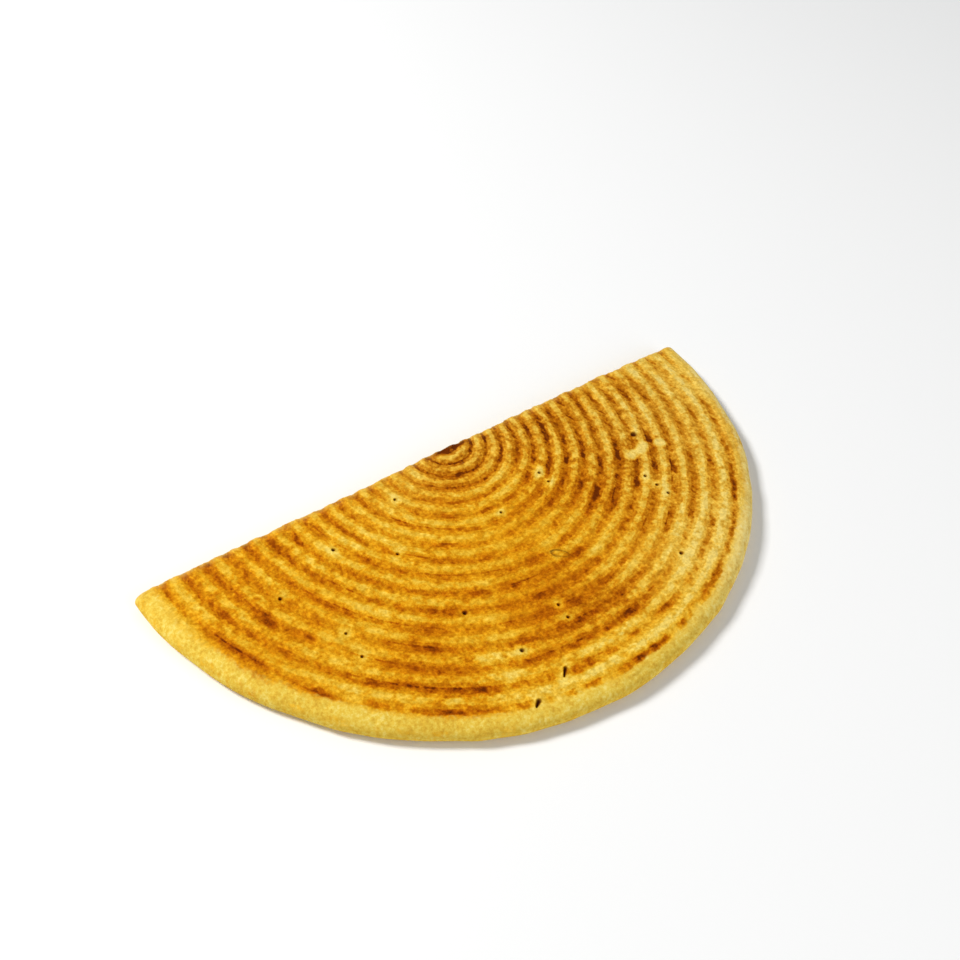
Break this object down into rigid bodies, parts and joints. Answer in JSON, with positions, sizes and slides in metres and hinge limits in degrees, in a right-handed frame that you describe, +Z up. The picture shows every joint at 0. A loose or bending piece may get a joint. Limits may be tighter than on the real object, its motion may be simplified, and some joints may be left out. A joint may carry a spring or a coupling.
{
  "type": "semolina flatbread half",
  "caption": "Half of a round semolina flatbread, cut straight across, with round grooves on its toasted faces, a pale rounded rim and a rough open crumb along the cut.",
  "frame": {"origin": "middle of the bread's box, on the plane that it rests on", "axes": "+X along the straight cut, +Y out of the cut face, -Y towards the round rim, +Z up out of the toasted upper face"},
  "size_m": [0.2762, 0.1336, 0.0102],
  "materials": {
    "toasted_crust": "matte"
  },
  "bodies": {
    "root": {"flatbread_half": "toasted_crust"}
  },
  "joints": []
}
